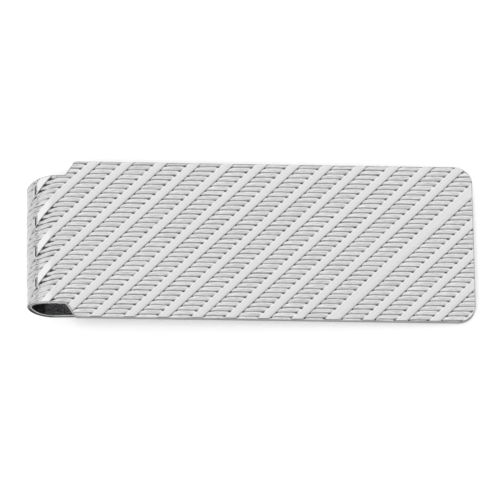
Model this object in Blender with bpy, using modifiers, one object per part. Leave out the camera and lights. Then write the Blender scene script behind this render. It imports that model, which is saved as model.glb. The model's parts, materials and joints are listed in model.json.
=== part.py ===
"""A money clip: one strip of spring sheet metal, folded into a loop with a plate in front and a leg behind.

The clip lies on the back of its leg, on z = 0, with the loop at -X and the plate's free end at +X. The origin is the
bottom centre of its box. Distances along the strip start where the neck of the plate runs into the loop, and follow
the middle of the sheet round the loop and down the leg.
"""

import bisect
import math

import bmesh
import bpy
from mathutils import Vector

# Driving dimensions, in metres and radians. Those along the leg are measured from the loop's outer face.
OVERALL_LENGTH = 0.0508
PLATE_WIDTH = 0.01905
SHEET = 0.00055
PLATE_TILT = math.radians(4.4)
CORNER_RADIUS = 0.0020

NECK_WIDTH = 0.0156
SHOULDER_START = 0.0009
SHOULDER_RUN = 0.0011
SHOULDER_RADIUS = 0.0004

LOOP_RADIUS = 0.0033
TAPER_LENGTH = 0.0062

LEG_WIDTH = 0.0141
LEG_FLAT_END = 0.0265
CREST_X = 0.0382
CREST_GAP = 0.00012
TIP_X = 0.0446
RISE_RADIUS = 0.035
CREST_RADIUS = 0.0045
FLAT_LENGTH = 0.0180
LIP_LENGTH = 0.0048
TIP_RADIUS = 0.0040

SEAM = 0.00006
EDGE_ROUNDING = 0.00010

# Smoothness of the curved stretches.
BEND_STEP = math.radians(4)
ARC_STEP = math.radians(2)
CORNER_STEP = math.radians(9)
TIP_STEPS = 8

# Worked out from the above. X runs from the loop's outer face until the objects are centred.
MIDDLE_RADIUS = LOOP_RADIUS - SHEET / 2
LOOP_CENTRE = Vector((LOOP_RADIUS, 0, LOOP_RADIUS))
CENTRE_SHIFT = Vector((-OVERALL_LENGTH / 2, 0, 0))
LOOP_LENGTH = MIDDLE_RADIUS * (math.pi + PLATE_TILT)
CROWN_LENGTH = MIDDLE_RADIUS * (math.pi / 2 + PLATE_TILT)


def clear_scene():
    for thing in list(bpy.data.objects):
        bpy.data.objects.remove(thing, do_unlink=True)


def make_collection():
    collection = bpy.data.collections.new("money_clip")
    bpy.context.scene.collection.children.link(collection)
    return collection


def metal(name, colour, roughness):
    material = bpy.data.materials.new(name)
    material.use_nodes = True
    shader = material.node_tree.nodes["Principled BSDF"]
    shader.inputs["Base Color"].default_value = (*colour, 1)
    shader.inputs["Metallic"].default_value = 1
    shader.inputs["Roughness"].default_value = roughness
    return material


def rounded_corner(before, corner, after, radius, step):
    """The points of the arc that rounds a corner, in order, or the corner itself where the radius is 0."""
    if radius == 0:
        return [corner]
    arriving = (corner - before).normalized()
    leaving = (after - corner).normalized()
    turn = arriving.angle(leaving)
    setback = radius * math.tan(turn / 2)
    inward = (leaving - arriving).normalized()
    centre = corner + inward * (radius / math.cos(turn / 2))
    first = corner - arriving * setback - centre
    last = corner + leaving * setback - centre
    count = max(2, math.ceil(turn / step))
    sweep = [index / count * turn for index in range(count + 1)]
    # Each point is the first and last spokes, mixed as they are on a circle.
    return [
        centre + (first * math.sin(turn - angle) + last * math.sin(angle)) / math.sin(turn)
        for angle in sweep
    ]


def loop_point(angle):
    """The middle of the sheet in the loop, at this angle past the top, turning towards -X."""
    return LOOP_CENTRE + MIDDLE_RADIUS * Vector((-math.sin(angle), 0, math.cos(angle)))


def plate_underside(x):
    """The height of the plate's inner face above this x."""
    inner = LOOP_RADIUS - SHEET
    start = LOOP_CENTRE + inner * Vector((math.sin(PLATE_TILT), 0, math.cos(PLATE_TILT)))
    return start.z - (x - start.x) * math.tan(PLATE_TILT)


def strip_middle():
    """The middle of the sheet from the neck to the tip: round the loop, flat, over the crest and down the lip."""
    steps = math.ceil((math.pi + PLATE_TILT) / BEND_STEP)
    points = [
        loop_point(-PLATE_TILT + index / steps * (math.pi + PLATE_TILT))
        for index in range(steps + 1)
    ]
    flat_end = Vector((LEG_FLAT_END, 0, SHEET / 2))
    tip = Vector((TIP_X, 0, SHEET / 2))
    crest_top = plate_underside(CREST_X) - CREST_GAP - SHEET / 2
    # The crest's arc cuts below its corner, so the corner is raised until the arc's top has the height wanted.
    corner = Vector((CREST_X, 0, crest_top))
    for _ in range(20):
        arc = rounded_corner(flat_end, corner, tip, CREST_RADIUS, ARC_STEP)
        corner.z += crest_top - max(point.z for point in arc)
    points += rounded_corner(points[-1], flat_end, corner, RISE_RADIUS, ARC_STEP)
    points += rounded_corner(flat_end, corner, tip, CREST_RADIUS, ARC_STEP)
    points.append(tip)
    return points


def distances(points):
    """How far along the line each point is."""
    along = [0.0]
    for first, second in zip(points, points[1:]):
        along.append(along[-1] + (second - first).length)
    return along


def half_width(along, length):
    """Half the strip's width: it tapers from the neck's to the leg's in the loop, and rounds off at the tip."""
    part = min(1, max(0, along / TAPER_LENGTH))
    taper = part * part * (3 - 2 * part)
    half = (NECK_WIDTH + (LEG_WIDTH - NECK_WIDTH) * taper) / 2
    past = along - (length - TIP_RADIUS)
    if past > 0:
        half -= TIP_RADIUS - math.sqrt(max(0, TIP_RADIUS**2 - past**2))
    return half


def place_at(points, along, distance):
    """The point this far along the line."""
    index = min(len(along) - 2, max(0, bisect.bisect_right(along, distance) - 1))
    part = (distance - along[index]) / (along[index + 1] - along[index])
    return points[index].lerp(points[index + 1], part)


def add_object(name, mesh, material, collection, origin):
    piece = bpy.data.objects.new(name, mesh)
    piece.location = origin + CENTRE_SHIFT
    piece.data.materials.append(material)
    collection.objects.link(piece)
    return piece


def add_rounding(piece):
    bevel = piece.modifiers.new("rounded_edges", "BEVEL")
    bevel.width = EDGE_ROUNDING
    bevel.segments = 2
    bevel.limit_method = "ANGLE"
    bevel.angle_limit = math.radians(50)


def add_stretch(name, start, end, origin, points, material, collection):
    """One stretch of the strip: a grid laid along the middle of the sheet, then thickened both ways."""
    along = distances(points)
    length = along[-1]
    first = start + SEAM / 2
    last = min(end - SEAM / 2, length)
    stations = [first]
    stations += [place for place in along if first + SEAM < place < last - SEAM]
    stations.append(last)
    if end > length:
        tip_start = length - TIP_RADIUS
        stations = [place for place in stations if place < tip_start - SEAM]
        quarter = [index / TIP_STEPS * math.pi / 2 for index in range(TIP_STEPS + 1)]
        stations += [tip_start + TIP_RADIUS * math.sin(angle) for angle in quarter]
    mesh = bpy.data.meshes.new(name)
    grid = bmesh.new()
    bmesh.ops.create_grid(grid, x_segments=len(stations) - 1, y_segments=1, size=1)
    for vertex in grid.verts:
        column = round((vertex.co.x + 1) / 2 * (len(stations) - 1))
        distance = stations[column]
        place = place_at(points, along, distance) - origin
        side = math.copysign(half_width(distance, length), vertex.co.y)
        vertex.co = (place.x, side, place.z)
    grid.to_mesh(mesh)
    grid.free()
    piece = add_object(name, mesh, material, collection, origin)
    solid = piece.modifiers.new("sheet_thickness", "SOLIDIFY")
    solid.thickness = SHEET
    solid.offset = 0
    solid.use_even_offset = True
    add_rounding(piece)
    return piece


def add_front_plate(material, collection):
    """The plate with its shoulders and neck: a flat outline, tilted down towards its free end."""
    seam = loop_point(-PLATE_TILT)
    outer_start = LOOP_RADIUS * (1 + math.sin(PLATE_TILT))
    end = (OVERALL_LENGTH - outer_start) / math.cos(PLATE_TILT)
    corners = [
        (SEAM / 2, NECK_WIDTH / 2, 0),
        (SHOULDER_START, NECK_WIDTH / 2, SHOULDER_RADIUS),
        (SHOULDER_START + SHOULDER_RUN, PLATE_WIDTH / 2, SHOULDER_RADIUS),
        (end, PLATE_WIDTH / 2, CORNER_RADIUS),
    ]
    corners += [(x, -y, radius) for x, y, radius in reversed(corners)]
    places = [Vector((x, y, 0)) for x, y, _ in corners]
    outline = []
    for index, (_, _, radius) in enumerate(corners):
        after = places[(index + 1) % len(places)]
        outline += rounded_corner(places[index - 1], places[index], after, radius, CORNER_STEP)
    curve = bpy.data.curves.new("front_plate", "CURVE")
    curve.dimensions = "2D"
    curve.fill_mode = "BOTH"
    curve.extrude = SHEET / 2
    spline = curve.splines.new("POLY")
    spline.points.add(len(outline) - 1)
    for point, place in zip(spline.points, outline):
        point.co = (place.x, place.y, 0, 1)
    spline.use_cyclic_u = True
    piece = add_object("front_plate", curve, material, collection, seam)
    piece.rotation_euler = (0, PLATE_TILT, 0)
    weld = piece.modifiers.new("join_caps", "WELD")
    weld.merge_threshold = 0.000001
    add_rounding(piece)
    return piece


def main():
    clear_scene()
    collection = make_collection()
    silver = metal("plated_metal", (0.86, 0.86, 0.87), 0.30)
    points = strip_middle()
    along = distances(points)
    crown = loop_point(math.pi / 2)
    crest_start = LOOP_LENGTH + FLAT_LENGTH
    lip_start = along[-1] - LIP_LENGTH
    tip_end = along[-1] + SEAM

    add_front_plate(silver, collection)
    # The leg's pieces turn about the crown of the loop, so their origins are there.
    stretches = (
        ("upper_bend", 0, CROWN_LENGTH),
        ("lower_bend", CROWN_LENGTH, LOOP_LENGTH),
        ("back_leg", LOOP_LENGTH, crest_start),
        ("grip_crest", crest_start, lip_start),
        ("entry_lip", lip_start, tip_end),
    )
    for name, start, end in stretches:
        add_stretch(name, start, end, crown, points, silver, collection)


main()
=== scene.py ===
"""The looks of the money clip: one strip of patterned sheet metal, worked flat, trimmed and folded.

The strip is made in its flat state. A place along it, p, is measured on the patterned face: it is 0 where the
neck meets the loop, grows round the loop and down the leg, and is negative on the plate. Lengths are in metres.
"""

import json
import math

import bmesh
import bpy
import numpy as np
from mathutils import Matrix, Vector


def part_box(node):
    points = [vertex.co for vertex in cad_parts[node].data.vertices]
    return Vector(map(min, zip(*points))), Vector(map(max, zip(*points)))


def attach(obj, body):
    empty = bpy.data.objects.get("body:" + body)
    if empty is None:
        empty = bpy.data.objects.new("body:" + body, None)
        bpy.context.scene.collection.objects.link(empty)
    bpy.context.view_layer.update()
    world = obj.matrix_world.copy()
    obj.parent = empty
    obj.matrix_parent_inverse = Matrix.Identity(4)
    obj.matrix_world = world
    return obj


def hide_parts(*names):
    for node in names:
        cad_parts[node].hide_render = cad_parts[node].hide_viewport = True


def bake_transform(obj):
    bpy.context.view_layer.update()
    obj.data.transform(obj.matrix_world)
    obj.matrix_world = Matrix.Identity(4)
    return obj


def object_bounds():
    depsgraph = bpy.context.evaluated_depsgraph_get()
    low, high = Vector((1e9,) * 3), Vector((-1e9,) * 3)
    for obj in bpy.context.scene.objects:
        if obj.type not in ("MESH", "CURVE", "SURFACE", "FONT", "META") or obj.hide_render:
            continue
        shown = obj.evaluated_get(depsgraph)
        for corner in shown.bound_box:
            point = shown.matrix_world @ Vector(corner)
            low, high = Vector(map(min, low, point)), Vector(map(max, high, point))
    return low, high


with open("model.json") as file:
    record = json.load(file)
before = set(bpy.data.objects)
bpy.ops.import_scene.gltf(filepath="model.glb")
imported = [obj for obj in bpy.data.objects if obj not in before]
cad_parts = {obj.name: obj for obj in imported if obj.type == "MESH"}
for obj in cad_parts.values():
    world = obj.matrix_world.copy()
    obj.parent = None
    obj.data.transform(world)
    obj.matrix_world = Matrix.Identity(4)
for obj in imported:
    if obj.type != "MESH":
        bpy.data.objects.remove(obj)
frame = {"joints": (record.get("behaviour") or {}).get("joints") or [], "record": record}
CAD_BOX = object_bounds()
MM = 0.001

# The strip's sizes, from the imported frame. The joint lies at the loop's crown, in the middle of the sheet.
PLATE_LOW, PLATE_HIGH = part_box("front_plate")
LEG_LOW, LEG_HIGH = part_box("back_leg")
OUTER_LEFT = CAD_BOX[0][0]
OVERALL_LENGTH = CAD_BOX[1][0] - CAD_BOX[0][0]
LOOP_RADIUS = (CAD_BOX[1][2] - CAD_BOX[0][2]) / 2
PLATE_WIDTH = PLATE_HIGH.y - PLATE_LOW.y
LEG_WIDTH = LEG_HIGH.y - LEG_LOW.y
SHEET = 2 * (frame["joints"][0]["pos_m"][0] - OUTER_LEFT)
PLATE_NORMAL = next(m["axis"] for m in frame["record"]["mounts"] if m["name"] == "plate_face")
PLATE_TILT = math.atan2(PLATE_NORMAL[0], PLATE_NORMAL[2])

# The strip's shape, as in the CAD model. Those along the leg are measured from the loop's outer face.
NECK_WIDTH = 15.6 * MM
CORNER_RADIUS = 2.0 * MM
SHOULDER_START = 0.9 * MM
SHOULDER_RUN = 1.1 * MM
SHOULDER_RADIUS = 0.4 * MM
TAPER_LENGTH = 6.2 * MM
LEG_FLAT_END = 26.5 * MM
CREST_X = 38.2 * MM
CREST_GAP = 0.12 * MM
TIP_X = 44.6 * MM
RISE_RADIUS = 35 * MM
CREST_RADIUS = 4.5 * MM
FLAT_LENGTH = 18 * MM
TIP_RADIUS = 4.0 * MM
EDGE_RADIUS = 0.10 * MM

# Smoothness of the curved stretches.
ARC_STEP = math.radians(1)
CORNER_STEP = math.radians(9)
SHOULDER_STEP = math.radians(18)
LOOP_POINTS = 200
TAPER_POINTS = 13
TIP_POINTS = 11
CREST_ROUNDS = 20

# The raised bands, in b = y + BAND_SLOPE * p. One is wide. They rise over the flank and fall over the wall.
BAND_ANGLE = math.radians(44.65)
BAND_SLOPE = math.tan(BAND_ANGLE)
BAND_PITCH = 3.756 * MM
BAND_WIDTH = 1.34 * MM
BAND_START = 4.50 * MM
BAND_FLANK = 0.12 * MM
BAND_WALL = 0.09 * MM
WIDE_BAND = -12
WIDE_EXTRA = 0.46 * MM
BAND_RANGE = range(-17, 18)

# The channels between the bands: ribs parted by grooves, which run nearly along the strip.
RIB_PITCH = 0.5905 * MM
RIB_START = -0.24 * MM
RIB_SLOPE = 0.007
RIB_RANGE = range(-18, 19)
LAND_DEPTH = 0.042 * MM
LEAST_DEPTH = 0.008 * MM
GROOVE_DEPTH = 0.038 * MM
GROOVE_HALF = 0.058 * MM
BURR_HEIGHT = 0.017 * MM
BURR_RISE = 0.12 * MM
BURR_TOP = 0.10 * MM
BURR_FALL = 0.24 * MM
SWAY_HEIGHT = 0.003 * MM

# The pits where a groove starts past a band, the notches where it meets the next band, and the dip at its foot.
PIT_DEPTH = 0.075 * MM
PIT_RADIUS = 0.10 * MM
PIT_PLACE = 0.11 * MM
NOTCH_PLACE = 0.05 * MM
NOTCH_SIZE = 0.8
FOOT_DEPTH = 0.036 * MM
FOOT_HALF = 0.085 * MM
FOOT_PLACE = 0.02 * MM

# How the ribs vary from one to the next.
PATTERN_SEED = 7
GROOVE_SIZES = (0.60, 1.25)
PIT_SIZES = (0.7, 1.2)
BURR_MEAN = 0.9
BURR_SPREAD = 0.65
BURR_MOST = 2.4

# What bending has done: it has pulled the ribs aside, opened the grooves up to a crease, and crushed the rest.
DRIFT_START = -0.4 * MM
DRIFT_RUN = 3.4 * MM
DRIFT_SLOPE = 0.1
CREASE = 2.68 * MM
CREASE_DEPTH = 0.012 * MM
CREASE_HALF = 0.11 * MM
OPENED_RUN = 0.9 * MM
OPENED_PAST_CREASE = 0.3 * MM
OPENED_FADE = 0.4 * MM
CRUSHED_RUN = 0.8 * MM
CRUSHED_MARGIN = 1 * MM
CRUSHED_FADE = 2 * MM
OPENED_PIT_LOSS = 0.75
OPENED_NOTCH_GAIN = 0.6
OPENED_NOTCH_SPREAD = 0.6
# By what share each depth changes where the grooves are opened, and where they are crushed.
OPENED_CHANGE = {"land": 0, "groove": 0.9, "pit": 0.8, "foot": -0.4}
CRUSHED_CHANGE = {"land": -0.5, "groove": 0, "pit": -0.4, "foot": -0.9}

# The stretch of the bend that gets painted shade, a darker reflection painted into the colour.
BEND_SHADE_START = 2.5 * MM
BEND_SHADE_RUN = 0.7 * MM
# The painted shade of the crease and the streaks counts as that many millimetres of depth.
CREASE_SHADE = 0.15
STREAK_SHADE = 0.055
STREAK_HALF = 2.4 * GROOVE_HALF


# ---------------------------------------------------------------- the folded line of the sheet

def rounded_corner(before, corner, after, radius, step):
    """The points of the arc that rounds a corner, in order."""
    arriving = (corner - before).normalized()
    leaving = (after - corner).normalized()
    turn = arriving.angle(leaving)
    centre = corner + (leaving - arriving).normalized() * (radius / math.cos(turn / 2))
    first = corner - arriving * (radius * math.tan(turn / 2)) - centre
    last = corner + leaving * (radius * math.tan(turn / 2)) - centre
    count = max(2, math.ceil(turn / step))
    sweep = [index / count * turn for index in range(count + 1)]
    return [
        centre + (first * math.sin(turn - angle) + last * math.sin(angle)) / math.sin(turn)
        for angle in sweep
    ]


def plate_underside(x):
    """The height of the plate's inner face above this x."""
    inner = LOOP_RADIUS - SHEET
    start_x = LOOP_RADIUS + inner * math.sin(PLATE_TILT)
    start_z = LOOP_RADIUS + inner * math.cos(PLATE_TILT)
    return start_z - (x - start_x) * math.tan(PLATE_TILT)


def leg_middle():
    """The middle of the sheet in the leg, from the loop to the tip, as (x, z) from the loop's outer face."""
    start = Vector((LOOP_RADIUS, SHEET / 2))
    flat_end = Vector((LEG_FLAT_END, SHEET / 2))
    tip = Vector((TIP_X, SHEET / 2))
    crest_top = plate_underside(CREST_X) - CREST_GAP - SHEET / 2
    # The crest's arc cuts below its corner, so the corner is raised until the arc's top has the height wanted.
    corner = Vector((CREST_X, crest_top))
    for _ in range(CREST_ROUNDS):
        arc = rounded_corner(flat_end, corner, tip, CREST_RADIUS, ARC_STEP)
        corner.y += crest_top - max(point.y for point in arc)
    points = [start]
    points += rounded_corner(start, flat_end, corner, RISE_RADIUS, ARC_STEP)
    points += rounded_corner(flat_end, corner, tip, CREST_RADIUS, ARC_STEP)
    points.append(tip)
    return np.array([tuple(point) for point in points])


def folded_line():
    """The patterned face from the plate's end to the tip: p, x, z and its normal's angle.

    The angle is from straight up towards -X. "middle" is how far past the neck each point is, measured along
    the middle of the sheet.
    """
    tilt = PLATE_TILT
    plate_length = (OVERALL_LENGTH - LOOP_RADIUS * (1 + math.sin(tilt))) / math.cos(tilt)
    angles = np.radians(np.linspace(-math.degrees(tilt), 180, LOOP_POINTS))
    loop_x = LOOP_RADIUS - LOOP_RADIUS * np.sin(angles)
    loop_z = LOOP_RADIUS + LOOP_RADIUS * np.cos(angles)
    end_x = loop_x[0] + plate_length * math.cos(tilt)
    end_z = loop_z[0] - plate_length * math.sin(tilt)

    middle = leg_middle()
    ahead = np.diff(middle, axis=0)
    heading = np.arctan2(ahead[:, 1], ahead[:, 0])
    at_points = np.concatenate([[0], (heading[1:] + heading[:-1]) / 2, heading[-1:]])
    # The leg's patterned face looks down. Its heading is taken away here, where a sheet of even thickness would
    # need it added, so the sloped stretches of the crest and the lip are thinner than the rest.
    leg_angles = math.pi - at_points
    leg_x = middle[:, 0] + SHEET / 2 * np.sin(at_points)
    leg_z = middle[:, 1] - SHEET / 2 * np.cos(at_points)

    x = np.concatenate([[end_x], loop_x, leg_x[1:]])
    z = np.concatenate([[end_z], loop_z, leg_z[1:]])
    normal = np.concatenate([[-tilt], angles, leg_angles[1:]])
    outer = np.concatenate([[0], np.cumsum(np.hypot(np.diff(x), np.diff(z)))]) - plate_length
    middle_x = x + SHEET / 2 * np.sin(normal)
    middle_z = z - SHEET / 2 * np.cos(normal)
    along = np.concatenate([[0], np.cumsum(np.hypot(np.diff(middle_x), np.diff(middle_z)))])
    return {"p": outer, "x": x, "z": z, "angle": normal, "middle": along - along[1]}


LINE = folded_line()
PLATE_END = LINE["p"][0]
LOOP_END = LOOP_RADIUS * (math.pi + PLATE_TILT)
TIP_END = LINE["p"][-1]


def folded(p, y, h):
    """Where the flat strip's points go when it is folded. h is the height over the patterned face."""
    angle = np.interp(p, LINE["p"], LINE["angle"])
    x = np.interp(p, LINE["p"], LINE["x"]) - h * np.sin(angle)
    z = np.interp(p, LINE["p"], LINE["z"]) + h * np.cos(angle)
    return np.stack([x + OUTER_LEFT, y, z], axis=1)


def outline():
    """The corners (p, half width) of one side of the strip: shoulders, taper and rounded ends."""
    neck, plate = NECK_WIDTH / 2, PLATE_WIDTH / 2
    end = Vector((PLATE_END, plate))
    shoulder_top = Vector((-SHOULDER_START - SHOULDER_RUN, plate))
    shoulder_foot = Vector((-SHOULDER_START, neck))
    neck_end = Vector((0, neck))
    points = rounded_corner(Vector((PLATE_END, 0)), end, shoulder_top, CORNER_RADIUS, CORNER_STEP)
    points += rounded_corner(end, shoulder_top, shoulder_foot, SHOULDER_RADIUS, SHOULDER_STEP)
    points += rounded_corner(shoulder_top, shoulder_foot, neck_end, SHOULDER_RADIUS, SHOULDER_STEP)
    for part in np.linspace(0, 1, TAPER_POINTS):
        smooth = part * part * (3 - 2 * part)
        p = np.interp(part * TAPER_LENGTH, LINE["middle"], LINE["p"])
        points.append(Vector((p, neck + (LEG_WIDTH / 2 - neck) * smooth)))
    points.append(Vector((LOOP_END, LEG_WIDTH / 2)))
    for angle in np.radians(np.linspace(0, 90, TIP_POINTS)):
        along = TIP_END - TIP_RADIUS + TIP_RADIUS * math.sin(angle)
        points.append(Vector((along, LEG_WIDTH / 2 - TIP_RADIUS * (1 - math.cos(angle)))))
    return np.array([tuple(point) for point in points])


OUTLINE = outline()


# ---------------------------------------------------------------- the rolled pattern

def band_edges():
    """The lower edge of each band, in b, and its width."""
    starts, widths = [], []
    for number in BAND_RANGE:
        shift = WIDE_EXTRA if number <= WIDE_BAND else 0
        starts.append(BAND_START + number * BAND_PITCH - shift)
        widths.append(BAND_WIDTH + (WIDE_EXTRA if number == WIDE_BAND else 0))
    return np.array(starts), np.array(widths)


BAND_STARTS, BAND_WIDTHS = band_edges()


def smooth_step(value):
    """A smooth rise from 0 to 1 as the value goes from 0 to 1."""
    value = np.clip(value, 0, 1)
    return value * value * (3 - 2 * value)


def bell(value):
    """1 at 0, falling off smoothly on both sides."""
    return np.exp(-(value**2))


def bowl(across, along):
    """The shape of one round pit, from the two distances to its middle."""
    return np.exp(-(across**2 + along**2) / PIT_RADIUS**2)


def rib_drift(p):
    """How far bending has pulled the ribs towards -y."""
    return DRIFT_SLOPE * np.clip(p - DRIFT_START, 0, DRIFT_RUN)


def relief(p, y):
    """The pattern at points of the flat strip: height over the bands' tops, share of a channel, and painted
    shade.
    """
    random = np.random.default_rng(PATTERN_SEED)
    shape = (len(BAND_STARTS) + 2, len(RIB_RANGE) + 2)
    groove_size = random.uniform(*GROOVE_SIZES, shape)
    burr_size = np.clip(random.normal(BURR_MEAN, BURR_SPREAD, shape), 0, BURR_MOST)
    lean = random.normal(0, 1, shape)
    pit_size = random.uniform(*PIT_SIZES, shape)

    b = y + BAND_SLOPE * p
    r = y - RIB_SLOPE * p + rib_drift(p)
    band = np.clip(np.searchsorted(BAND_STARTS, b) - 1, 0, len(BAND_STARTS) - 2)
    up = b - BAND_STARTS[band]
    width = BAND_WIDTHS[band]
    gap_end = BAND_STARTS[band + 1] - BAND_STARTS[band]
    on_band = np.minimum(smooth_step(up / BAND_FLANK), smooth_step((width - up) / BAND_WALL))
    channel = 1 - on_band

    place = (r - RIB_START) / RIB_PITCH
    rib = np.round(place).astype(int)
    offset = (place - rib) * RIB_PITCH
    row = np.clip(rib - RIB_RANGE[0], 0, shape[1] - 1)
    groove = groove_size[band, row] * bell(offset / GROOVE_HALF)
    # Each groove has thrown up a burr on its +y side, and each rib's top sways a little from level.
    land = np.floor(place).astype(int)
    past = (place - land) * RIB_PITCH
    land_row = np.clip(land - RIB_RANGE[0], 0, shape[1] - 1)
    burr = smooth_step(past / BURR_RISE) * (1 - smooth_step((past - BURR_TOP) / BURR_FALL))
    burr = burr * burr_size[band, land_row]
    sway = lean[band, land_row] * np.sin(past / RIB_PITCH * 2 * math.pi)

    opened = smooth_step(p / OPENED_RUN) * smooth_step((CREASE + OPENED_PAST_CREASE - p) / OPENED_FADE)
    crushed = smooth_step((p - CREASE) / CRUSHED_RUN)
    crushed = crushed * smooth_step((LOOP_END - CRUSHED_MARGIN - p) / CRUSHED_FADE)

    def bent(feature):
        """How much of a feature's depth is there, opened or crushed."""
        return 1 + OPENED_CHANGE[feature] * opened + CRUSHED_CHANGE[feature] * crushed

    from_band = (up - width) * math.cos(BAND_ANGLE)
    to_next = (gap_end - up) * math.cos(BAND_ANGLE)
    spread = 1 + OPENED_NOTCH_SPREAD * opened
    pit = bowl(from_band - PIT_PLACE, offset) * pit_size[band, row]
    notch = bowl(to_next - NOTCH_PLACE * spread, offset / spread)
    pit = pit * (1 - OPENED_PIT_LOSS * opened)
    notch = notch * (NOTCH_SIZE + OPENED_NOTCH_GAIN * opened)
    crease = bell((p - CREASE) / CREASE_HALF)
    foot = bell((to_next - FOOT_PLACE) / FOOT_HALF)
    floor = -LAND_DEPTH * bent("land") + BURR_HEIGHT * burr + SWAY_HEIGHT * sway
    floor -= GROOVE_DEPTH * groove * bent("groove")
    floor -= PIT_DEPTH * np.maximum(pit, notch) * bent("pit")
    floor -= FOOT_DEPTH * foot * bent("foot")
    height = np.minimum(floor, -LEAST_DEPTH) * channel - CREASE_DEPTH * crease * on_band
    # Painted shade: the crease is painted dark across the bands, and beyond it the crushed grooves get faint
    # painted dark streaks.
    streak = groove_size[band, row] * bell(offset / STREAK_HALF)
    painted_shade = CREASE_SHADE * crease * on_band + STREAK_SHADE * crushed * channel * streak
    return height, np.maximum(channel, crushed), painted_shade


# ---------------------------------------------------------------- the strip's edge

def edge_segments():
    """The strip's whole outline, as pairs of points (p, y) that run round it."""
    side = [tuple(point) for point in OUTLINE]
    ring = [(p, -y) for p, y in side] + side[::-1]
    return [(Vector(first), Vector(second)) for first, second in zip(ring, ring[1:] + ring[:1])]


SEGMENTS = edge_segments()
FAR_FROM_EDGE = 1.0


def from_edge(p, y):
    """How far points of the flat strip are from its outline, if they are near it."""
    point = np.stack([p, y], axis=1)
    nearest = np.full(len(p), FAR_FROM_EDGE)
    for first, second in SEGMENTS:
        side = np.array(second - first)
        low = np.minimum(first, second) - 2 * EDGE_RADIUS
        high = np.maximum(first, second) + 2 * EDGE_RADIUS
        near = np.all((point > low) & (point < high), axis=1)
        offset = point[near] - np.array(first)
        part = np.clip(offset @ side / (side @ side), 0, 1)
        away = np.linalg.norm(offset - part[:, None] * side, axis=1)
        nearest[near] = np.minimum(nearest[near], away)
    return nearest


def inside(p, y):
    """Which points of the flat strip lie within its outline."""
    half = np.interp(p, OUTLINE[:, 0], OUTLINE[:, 1])
    return (p > PLATE_END) & (p < TIP_END) & (abs(y) < half)


# ---------------------------------------------------------------- meshes

# The grid's lines, in millimetres from a band's lower edge, from its upper edge and from a groove's middle.
LOWER_EDGE_LINES = (-0.21, -0.13, -0.08, -0.04, 0, 0.03, 0.06, 0.09, 0.15)
UPPER_EDGE_LINES = (-0.15, -0.09, -0.06, -0.03, 0, 0.05, 0.10, 0.16, 0.24, 0.38, 0.72, 1.08, 1.45)
GROOVE_LINES = (-0.13, -0.08, -0.04, 0, 0.04, 0.08, 0.13, 0.20, 0.32)
# Its lines along the strip's edge, in edge radii inwards, and along the crease, in crease half widths.
EDGE_LINES = (0, 0.3, 1)
CREASE_LINES = (-2, -1.2, -0.6, 0, 0.6, 1.2, 2)
GRID_TABLE = 4000
GRID_MARGIN = 1 * MM
TABLE_MARGIN = 3 * MM
# While it is cut, the grid is in millimetres, and a line cuts only the faces whose middles are this near to it.
FACE_REACH = 0.45
SAME_POINT = 1e-5


def pattern_grid(start, end):
    """Points (p, y) and four-sided faces that follow the bands and ribs, close together on steep relief."""
    b_lines = []
    for lower, width in zip(BAND_STARTS, BAND_WIDTHS):
        b_lines += [lower + step * MM for step in LOWER_EDGE_LINES]
        b_lines.append(lower + width / 2)
        b_lines += [lower + width + step * MM for step in UPPER_EDGE_LINES]
    r_lines = []
    for number in RIB_RANGE:
        r_lines += [RIB_START + number * RIB_PITCH + step * MM for step in GROOVE_LINES]
    # The drift of the ribs makes p hard to solve for, so it is looked up in a table.
    table = np.linspace(start - TABLE_MARGIN, end + TABLE_MARGIN, GRID_TABLE)
    lean = (BAND_SLOPE + RIB_SLOPE) * table - rib_drift(table)
    grid_b, grid_r = np.meshgrid(b_lines, r_lines, indexing="ij")
    p = np.interp(grid_b - grid_r, lean, table, left=np.nan, right=np.nan)
    y = grid_r + RIB_SLOPE * p - rib_drift(p)
    half = np.interp(p, OUTLINE[:, 0], OUTLINE[:, 1]) + GRID_MARGIN
    kept = (p > start - GRID_MARGIN) & (p < end + GRID_MARGIN) & (np.abs(y) < half)
    cell = kept[:-1, :-1] & kept[1:, :-1] & kept[:-1, 1:] & kept[1:, 1:]
    index = np.arange(p.size).reshape(p.shape)
    corners = np.stack([index[:-1, :-1], index[1:, :-1], index[1:, 1:], index[:-1, 1:]], axis=-1)[cell]
    used, faces = np.unique(corners, return_inverse=True)
    return np.stack([p.ravel()[used], y.ravel()[used]], axis=1), faces.reshape(corners.shape)


def cut_lines(start, end):
    """The lines that the grid is cut along, as pairs of points: outline, rounding, ends and crease."""
    lines = []
    for first, second in SEGMENTS:
        before_end = min(first.x, second.x) < end + EDGE_RADIUS
        if before_end and max(first.x, second.x) > start - EDGE_RADIUS:
            inwards = Vector((first.y - second.y, second.x - first.x)).normalized()
            for share in EDGE_LINES:
                inset = inwards * (EDGE_RADIUS * share)
                lines.append((first + inset, second + inset))
    across = [place for place in (start, end) if place not in (PLATE_END, TIP_END)]
    if start < CREASE < end:
        across += [CREASE + step * CREASE_HALF for step in CREASE_LINES]
    lines += [(Vector((place, -PLATE_WIDTH)), Vector((place, PLATE_WIDTH))) for place in across]
    return lines


def cut(built, faces, point, along):
    """Cuts these faces by the line through a point, and gives all the faces there are then."""
    geometry = list(faces)
    geometry += list(dict.fromkeys(edge for face in faces for edge in face.edges))
    geometry += list(dict.fromkeys(vertex for face in faces for vertex in face.verts))
    normal = Vector((along.y, -along.x, 0)).normalized()
    place = Vector((point[0], point[1], 0))
    result = bmesh.ops.bisect_plane(
        built, geom=geometry, dist=SAME_POINT, plane_co=place, plane_no=normal
    )
    return [item for item in result["geom"] if isinstance(item, bmesh.types.BMFace)]


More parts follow.
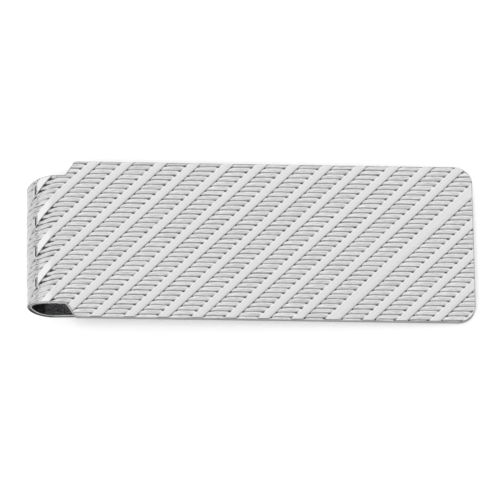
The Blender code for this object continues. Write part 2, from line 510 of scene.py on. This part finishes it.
def trimmed_grid(start, end):
    """The pattern's grid cut to this stretch of the outline, with lines along the edge for its rounding."""
    points, faces = pattern_grid(start, end)
    mesh = bpy.data.meshes.new("grid")
    mesh.from_pydata([(p / MM, y / MM, 0) for p, y in points.tolist()], [], faces.tolist())
    built = bmesh.new()
    built.from_mesh(mesh)
    bpy.data.meshes.remove(mesh)
    middles = {face: face.calc_center_median() for face in built.faces}
    for first, second in cut_lines(start, end):
        first, second = first / MM, second / MM
        along = second - first
        length = along.length
        along = along / length
        near = []
        for face, middle in middles.items():
            across = (middle.x - first.x) * along.y - (middle.y - first.y) * along.x
            if abs(across) < FACE_REACH:
                place = (middle.x - first.x) * along.x + (middle.y - first.y) * along.y
                if -FACE_REACH < place < length + FACE_REACH:
                    near.append(face)
        if near:
            for face in cut(built, near, first, along):
                middles[face] = face.calc_center_median()
    faces = list(built.faces)
    middles = [face.calc_center_median() for face in faces]
    p = np.array([middle.x for middle in middles]) * MM
    y = np.array([middle.y for middle in middles]) * MM
    wanted = inside(p, y) & (p > start) & (p < end)
    outside = [face for face, keep in zip(faces, wanted) if not keep]
    bmesh.ops.delete(built, geom=outside, context="FACES")
    bmesh.ops.remove_doubles(built, verts=built.verts[:], dist=SAME_POINT)
    built.verts.index_update()
    return built


def rim_of(built):
    """The vertices of the sheet's rim, in the order that they run round it."""
    after = {}
    for edge in built.edges:
        if edge.is_boundary:
            corner = edge.link_loops[0]
            after[corner.vert.index] = corner.link_loop_next.vert.index
    ring = [min(after)]
    while after[ring[-1]] != ring[0]:
        ring.append(after[ring[-1]])
    return ring


# The metals' places in each piece's list.
BAND_SLOT, CHANNEL_SLOT, EDGE_SLOT, INNER_SLOT = range(4)
CHANNEL_SHARE = 0.65
ROUNDING_REACH = 1.01 * EDGE_RADIUS
SHARP_ANGLE = math.radians(60)

# How much painted shade the cut edge gets, for its dark reflection and the contact shadow: at the neck, more
# along the plate, and rising from the loop to the leg. On the inner side it is 0 in the loop.
NECK_EDGE = 0.38
PLATE_EDGE_MORE = 0.13
PLATE_EDGE_START = 1.6 * MM
PLATE_EDGE_RUN = 0.6 * MM
LOOP_EDGE = 0.33
LEG_EDGE_MORE = 0.77
LEG_EDGE_START = 4 * MM
LEG_EDGE_RUN = 3.5 * MM
INNER_LEG_EDGE = 0.80
# The inside of the loop gets painted shade, which fades out at both ends.
HOLLOW_RUN_IN = 2 * MM
HOLLOW_MARGIN = 1 * MM
HOLLOW_RUN_OUT = 1.2 * MM


def edge_darkness(along, near, below, flat):
    """How much painted shade the cut edge gets at each vertex. near is how far into the rounding each patterned
    one is.

    below says which vertices are on the inner side.
    """
    if flat:
        # Past the shoulders the painted shade on the edge's rounding grows from the face to the cut edge.
        plate_edge = smooth_step((-along - PLATE_EDGE_START) / PLATE_EDGE_RUN)
        dark = NECK_EDGE + PLATE_EDGE_MORE * plate_edge
        count = len(near)
        dark[:count] *= 1 - plate_edge[:count] * (1 - near / EDGE_RADIUS)
        return dark
    low = smooth_step((along - LEG_EDGE_START) / LEG_EDGE_RUN)
    return np.where(below, INNER_LEG_EDGE * low, LOOP_EDGE + LEG_EDGE_MORE * low)


def sheet_object(name, start, end, flat):
    """One stretch of the strip: patterned, trimmed, thickened, its edge rounded, and folded."""
    built = trimmed_grid(start, end)
    top = np.array([tuple(vertex.co) for vertex in built.verts]) * MM
    faces = [[vertex.index for vertex in face.verts] for face in built.faces]
    ring = rim_of(built)
    built.free()

    p, y = top[:, 0], top[:, 1]
    count = len(top)
    height, channel, painted_shade = relief(p, y)
    distance = from_edge(p, y)
    near = np.clip(EDGE_RADIUS - distance, 0, EDGE_RADIUS)
    rounding = EDGE_RADIUS - np.sqrt(EDGE_RADIUS**2 - near**2)
    pattern = height * smooth_step(distance / EDGE_RADIUS)
    slots, inner_slots = [], []
    for face in faces:
        rounded = distance[face].max() < ROUNDING_REACH
        plain = CHANNEL_SLOT if channel[face].mean() > CHANNEL_SHARE else BAND_SLOT
        slots.append(EDGE_SLOT if rounded else plain)
        inner_slots.append(BAND_SLOT if rounded else INNER_SLOT)

    # A flat stretch has one plain face below. A bent one has a point below each point above.
    if flat:
        under = {vertex: count + place for place, vertex in enumerate(ring)}
        inner_p, inner_y = p[ring], y[ring]
        inner_height = np.full(len(ring), -SHEET)
        inner_faces = [[under[vertex] for vertex in reversed(ring)]]
        inner_slots = [INNER_SLOT]
    else:
        under = {vertex: count + vertex for vertex in range(count)}
        inner_p, inner_y = p, y
        inner_height = rounding - SHEET
        inner_faces = [[under[vertex] for vertex in reversed(face)] for face in faces]
    edges = list(zip(ring, ring[1:] + ring[:1]))
    walls = [[second, first, under[first], under[second]] for first, second in edges]
    faces += inner_faces + walls
    slots += inner_slots + [EDGE_SLOT] * len(walls)
    outer_points = folded(p, y, np.minimum(pattern, -rounding))
    inner_points = folded(inner_p, inner_y, inner_height)

    # Folding turns the flat strip over, and so each face.
    mesh = bpy.data.meshes.new(name)
    points = np.concatenate([outer_points, inner_points]).tolist()
    mesh.from_pydata(points, [], [face[::-1] for face in faces])
    mesh.polygons.foreach_set("material_index", slots)
    along = np.concatenate([p, inner_p])
    below = np.arange(len(along)) >= count
    # Painted shade: the loop's bend is darkened, a darker reflection painted into the colour.
    bend = smooth_step((along - BEND_SHADE_START) / BEND_SHADE_RUN) * smooth_step((LOOP_END - along) / BEND_SHADE_RUN)
    # Painted shade inside the loop, fading out at both ends.
    loop_inside_shade = smooth_step(along / HOLLOW_RUN_IN) * below
    loop_inside_shade = loop_inside_shade * smooth_step((LOOP_END - HOLLOW_MARGIN - along) / HOLLOW_RUN_OUT)
    attributes = {
        # recess is the depth plus the painted shade of the crease and streaks; the metals turn it into painted
        # shade.
        "recess": np.concatenate([-pattern / MM + painted_shade, np.zeros(len(inner_p))]),
        "bend": bend,
        "edge_shade": edge_darkness(along, near, below, flat),
        "loop_inside_shade": loop_inside_shade,
    }
    for attribute, values in attributes.items():
        mesh.attributes.new(attribute, "FLOAT", "POINT").data.foreach_set("value", values)
    mesh.shade_smooth()
    mesh.set_sharp_from_angle(angle=SHARP_ANGLE)
    piece = bpy.data.objects.new(name, mesh)
    bpy.context.scene.collection.objects.link(piece)
    return piece


# ---------------------------------------------------------------- materials

# The grey of the painted shade that a metal goes to in the bend, in a recess, and where its own shade attribute
# is full.
BEND_SHADE_GREY = 0.45
RECESS_SHADE_GREY = 0.19
SHADE_GREY = 0.035
# The painted shade in a recess grows between these depths, in millimetres.
RECESS_START = 0.06
RECESS_FULL = 0.14
# The greys lean a little to blue.
GREY_BLUE = 1.01
# The parts of the noise's range that move the roughness and the tone, and its height on the surface.
ROUGHNESS_NOISE = (0.25, 0.75)
TONE_NOISE = (0.35, 0.65)
GRAIN_HEIGHT = 0.02 * MM


def node(tree, kind, **settings):
    """A new node of this kind, with these settings."""
    made = tree.nodes.new(kind)
    for key, value in settings.items():
        setattr(made, key, value)
    return made


def ranged(tree, source, low, high, **settings):
    """A node that takes a value from this range to 0 to 1."""
    made = node(tree, "ShaderNodeMapRange", **settings)
    made.inputs["From Min"].default_value = low
    made.inputs["From Max"].default_value = high
    tree.links.new(source, made.inputs["Value"])
    return made


def darkened(tree, before, attribute, low, high, grey):
    """A colour that goes to this grey as a mesh attribute goes from low to high."""
    value = node(tree, "ShaderNodeAttribute", attribute_name=attribute)
    much = ranged(tree, value.outputs["Fac"], low, high, interpolation_type="SMOOTHSTEP")
    mix = node(tree, "ShaderNodeMix", data_type="RGBA")
    tree.links.new(before, mix.inputs["A"])
    mix.inputs["B"].default_value = (grey, grey, grey * GREY_BLUE, 1)
    tree.links.new(much.outputs["Result"], mix.inputs["Factor"])
    return mix.outputs["Result"]


def metal(name, colour, streak, roughness, grain, grain_scale, bump, shade=None, edge_tint=1):
    """Plated metal, grained by stretched noise, with painted shade in recesses and in the bend.

    streak is how dark the grain's dark tone is, and grain how much it moves the roughness. shade names a mesh
    attribute of painted shade that darkens the metal, and edge_tint dims its reflection at a grazing angle,
    which on the cut edge is painted shade too.
    """
    material = bpy.data.materials.new(name)
    material.use_nodes = True
    tree = material.node_tree
    shader = tree.nodes["Principled BSDF"]
    shader.inputs["Metallic"].default_value = 1
    shader.inputs["Specular Tint"].default_value = (edge_tint, edge_tint, edge_tint, 1)
    place = node(tree, "ShaderNodeTexCoord")
    stretch = node(tree, "ShaderNodeMapping")
    stretch.inputs["Scale"].default_value = grain_scale
    tree.links.new(place.outputs["Object"], stretch.inputs["Vector"])
    noise = node(tree, "ShaderNodeTexNoise")
    noise.inputs["Scale"].default_value = 1
    noise.inputs["Detail"].default_value = 3
    noise.inputs["Roughness"].default_value = 0.6
    tree.links.new(stretch.outputs["Vector"], noise.inputs["Vector"])
    rough = ranged(tree, noise.outputs["Fac"], *ROUGHNESS_NOISE)
    rough.inputs["To Min"].default_value = roughness - grain
    rough.inputs["To Max"].default_value = roughness + grain
    tree.links.new(rough.outputs["Result"], shader.inputs["Roughness"])

    tone = node(tree, "ShaderNodeMix", data_type="RGBA")
    tone.inputs["A"].default_value = (*[streak * c for c in colour], 1)
    tone.inputs["B"].default_value = (*colour, 1)
    share = ranged(tree, noise.outputs["Fac"], *TONE_NOISE)
    tree.links.new(share.outputs["Result"], tone.inputs["Factor"])
    # Painted shade in the bend: a darker reflection painted into the colour.
    colours = darkened(tree, tone.outputs["Result"], "bend", 0, 1, BEND_SHADE_GREY)
    # Painted shade in recesses: deep grooves, pits, the crease and the streaks are darkened.
    colours = darkened(tree, colours, "recess", RECESS_START, RECESS_FULL, RECESS_SHADE_GREY)
    # Painted shade from the piece's own attribute: on the cut edge, and inside the loop.
    if shade:
        colours = darkened(tree, colours, shade, 0, 1, SHADE_GREY)
    tree.links.new(colours, shader.inputs["Base Color"])
    raised = node(tree, "ShaderNodeBump")
    raised.inputs["Strength"].default_value = bump
    raised.inputs["Distance"].default_value = GRAIN_HEIGHT
    tree.links.new(noise.outputs["Fac"], raised.inputs["Height"])
    tree.links.new(raised.outputs["Normal"], shader.inputs["Normal"])
    return material


BAND_METAL = metal(
    "band_metal",
    colour=(0.90, 0.90, 0.905),
    streak=0.96,
    roughness=0.11,
    grain=0.04,
    grain_scale=(9000, 9000, 9000),
    bump=0.10,
)
CHANNEL_METAL = metal(
    "channel_metal",
    colour=(0.80, 0.80, 0.805),
    streak=0.76,
    roughness=0.20,
    grain=0.08,
    grain_scale=(1300, 7500, 1300),
    bump=0.9,
)
# The cut edge is a darker copy of the metal, dimmed at a grazing angle: painted shade for its dark reflection
# and the contact shadow.
EDGE_METAL = metal(
    "edge_metal",
    colour=(0.64, 0.64, 0.645),
    streak=0.90,
    roughness=0.24,
    grain=0.06,
    grain_scale=(6000, 6000, 6000),
    bump=0.2,
    shade="edge_shade",
    edge_tint=0.4,
)
# The inner face gets painted shade inside the loop.
INNER_METAL = metal(
    "inner_metal",
    colour=(0.64, 0.64, 0.65),
    streak=0.90,
    roughness=0.28,
    grain=0.06,
    grain_scale=(1200, 9000, 1200),
    bump=0.3,
    shade="loop_inside_shade",
)
# In the order of the slots.
METALS = (BAND_METAL, CHANNEL_METAL, EDGE_METAL, INNER_METAL)


# ---------------------------------------------------------------- the pieces

def add_piece(name, start, end, flat, *replaced):
    """One stretch of the strip in its metals, in place of the CAD nodes that it replaces."""
    piece = sheet_object(name, start, end, flat)
    for material in METALS:
        piece.data.materials.append(material)
    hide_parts(*replaced)
    return piece


plate_sheet = add_piece("plate_sheet", PLATE_END, 0, True, "front_plate")
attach(plate_sheet, "plate")
loop_sheet = add_piece("loop_sheet", 0, LOOP_END, False, "upper_bend", "lower_bend")
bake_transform(loop_sheet)
CREST_START = LOOP_END + FLAT_LENGTH
leg_sheet = add_piece("leg_sheet", LOOP_END, CREST_START, False, "back_leg")
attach(leg_sheet, "leg")
crest_sheet = add_piece("crest_sheet", CREST_START, TIP_END, False, "grip_crest", "entry_lip")
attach(crest_sheet, "leg")


# ---------------------------------------------------------------- floor, light and camera

FLOOR_SIDE = 3.0
FLOOR_GAP = 0.12 * MM


def add_floor():
    """A white floor a hair below the clip."""
    mesh = bpy.data.meshes.new("floor")
    side = FLOOR_SIDE
    corners = [(-side, -side, 0), (side, -side, 0), (side, side, 0), (-side, side, 0)]
    mesh.from_pydata(corners, [], [(0, 1, 2, 3)])
    floor = bpy.data.objects.new("floor", mesh)
    floor.location.z = -FLOOR_GAP
    material = bpy.data.materials.new("floor_white")
    material.use_nodes = True
    shader = material.node_tree.nodes["Principled BSDF"]
    shader.inputs["Base Color"].default_value = (0.93, 0.93, 0.93, 1)
    shader.inputs["Roughness"].default_value = 0.9
    mesh.materials.append(material)
    bpy.context.scene.collection.objects.link(floor)


# How bright the studio is from each side.
FRONT_LEVEL = 0.42
BACK_LEVEL = 1.165
FAR_FRONT_LEVEL = 0.22
LEFT_LEVEL = 0.99
LOW_LEFT_LEVEL = 0.60
DARK_STRIP_LEVEL = 0.05


def add_world():
    """A white studio, bright behind and to the left and dim in front.

    Low on the far left are a dark strip and a dimmer part below it, which the loop's crown reflects. Each pair
    of numbers here is where a change starts and ends, in the direction's own X, Y or Z.
    """
    world = bpy.data.worlds.new("studio")
    bpy.context.scene.world = world
    world.use_nodes = True
    tree = world.node_tree
    background = tree.nodes["Background"]
    place = node(tree, "ShaderNodeTexCoord")
    split = node(tree, "ShaderNodeSeparateXYZ")
    tree.links.new(place.outputs["Generated"], split.inputs["Vector"])

    def above(axis, low, high):
        made = ranged(tree, split.outputs[axis], low, high, interpolation_type="SMOOTHSTEP")
        return made.outputs["Result"]

    def opposite(value):
        made = node(tree, "ShaderNodeMath", operation="SUBTRACT")
        made.inputs[0].default_value = 1
        tree.links.new(value, made.inputs[1])
        return made.outputs["Value"]

    def below(axis, low, high):
        return opposite(above(axis, low, high))

    def times(first, second):
        made = node(tree, "ShaderNodeMath", operation="MULTIPLY")
        tree.links.new(first, made.inputs[0])
        tree.links.new(second, made.inputs[1])
        return made.outputs["Value"]

    def mixed(before, level, where):
        made = node(tree, "ShaderNodeMix", data_type="FLOAT")
        tree.links.new(before, made.inputs["A"])
        made.inputs["B"].default_value = level
        tree.links.new(where, made.inputs["Factor"])
        return made.outputs["Result"]

    depth = ranged(tree, split.outputs["Y"], -0.10, 0.72)
    depth.inputs["To Min"].default_value = FRONT_LEVEL
    depth.inputs["To Max"].default_value = BACK_LEVEL
    far_left = below("X", -0.70, -0.55)
    strip = times(above("Z", 0.05, 0.08), below("Z", 0.15, 0.20))
    light = mixed(depth.outputs["Result"], FAR_FRONT_LEVEL, below("Y", -0.95, -0.55))
    light = mixed(light, LEFT_LEVEL, below("X", -0.50, -0.15))
    light = mixed(light, LOW_LEFT_LEVEL, times(far_left, below("Z", 0.05, 0.09)))
    light = mixed(light, DARK_STRIP_LEVEL, times(far_left, strip))
    tree.links.new(light, background.inputs["Strength"])
    background.inputs["Color"].default_value = (1, 1, 1, 1)


def add_sun(name, energy, softness, direction):
    """A soft light that no metal reflects, so it only shapes the floor's shadows. softness is in degrees."""
    lamp = bpy.data.lights.new(name, "SUN")
    lamp.energy = energy
    lamp.angle = math.radians(softness)
    lamp_object = bpy.data.objects.new(name, lamp)
    lamp_object.rotation_euler = Vector(direction).to_track_quat("-Z", "Y").to_euler()
    lamp_object.visible_glossy = False
    bpy.context.scene.collection.objects.link(lamp_object)


def add_camera():
    """Above and in front, nearly square to the plate, far away."""
    azimuth, elevation = math.radians(0.895), math.radians(67.344)
    distance = 825.858 * MM
    target = Vector((-0.07, -0.722, 4.0)) * MM
    forward = Vector((
        math.sin(azimuth) * math.cos(elevation),
        math.cos(azimuth) * math.cos(elevation),
        -math.sin(elevation),
    ))
    right = Vector((math.cos(azimuth), -math.sin(azimuth), 0))
    up = right.cross(forward)
    data = bpy.data.cameras.new("camera")
    data.lens = 524.04
    data.clip_end = 50
    camera = bpy.data.objects.new("camera", data)
    turn = Matrix((right, up, -forward)).transposed().to_4x4()
    camera.matrix_world = Matrix.Translation(target - forward * distance) @ turn
    bpy.context.scene.collection.objects.link(camera)
    bpy.context.scene.camera = camera


add_floor()
add_world()
add_sun("soft_light", energy=2.3, softness=30, direction=(0.04, 0.49, -1))
add_sun("contact_light", energy=0.2, softness=12, direction=(0.04, 0.18, -1))
add_camera()
bpy.context.scene.view_settings.view_transform = "Standard"
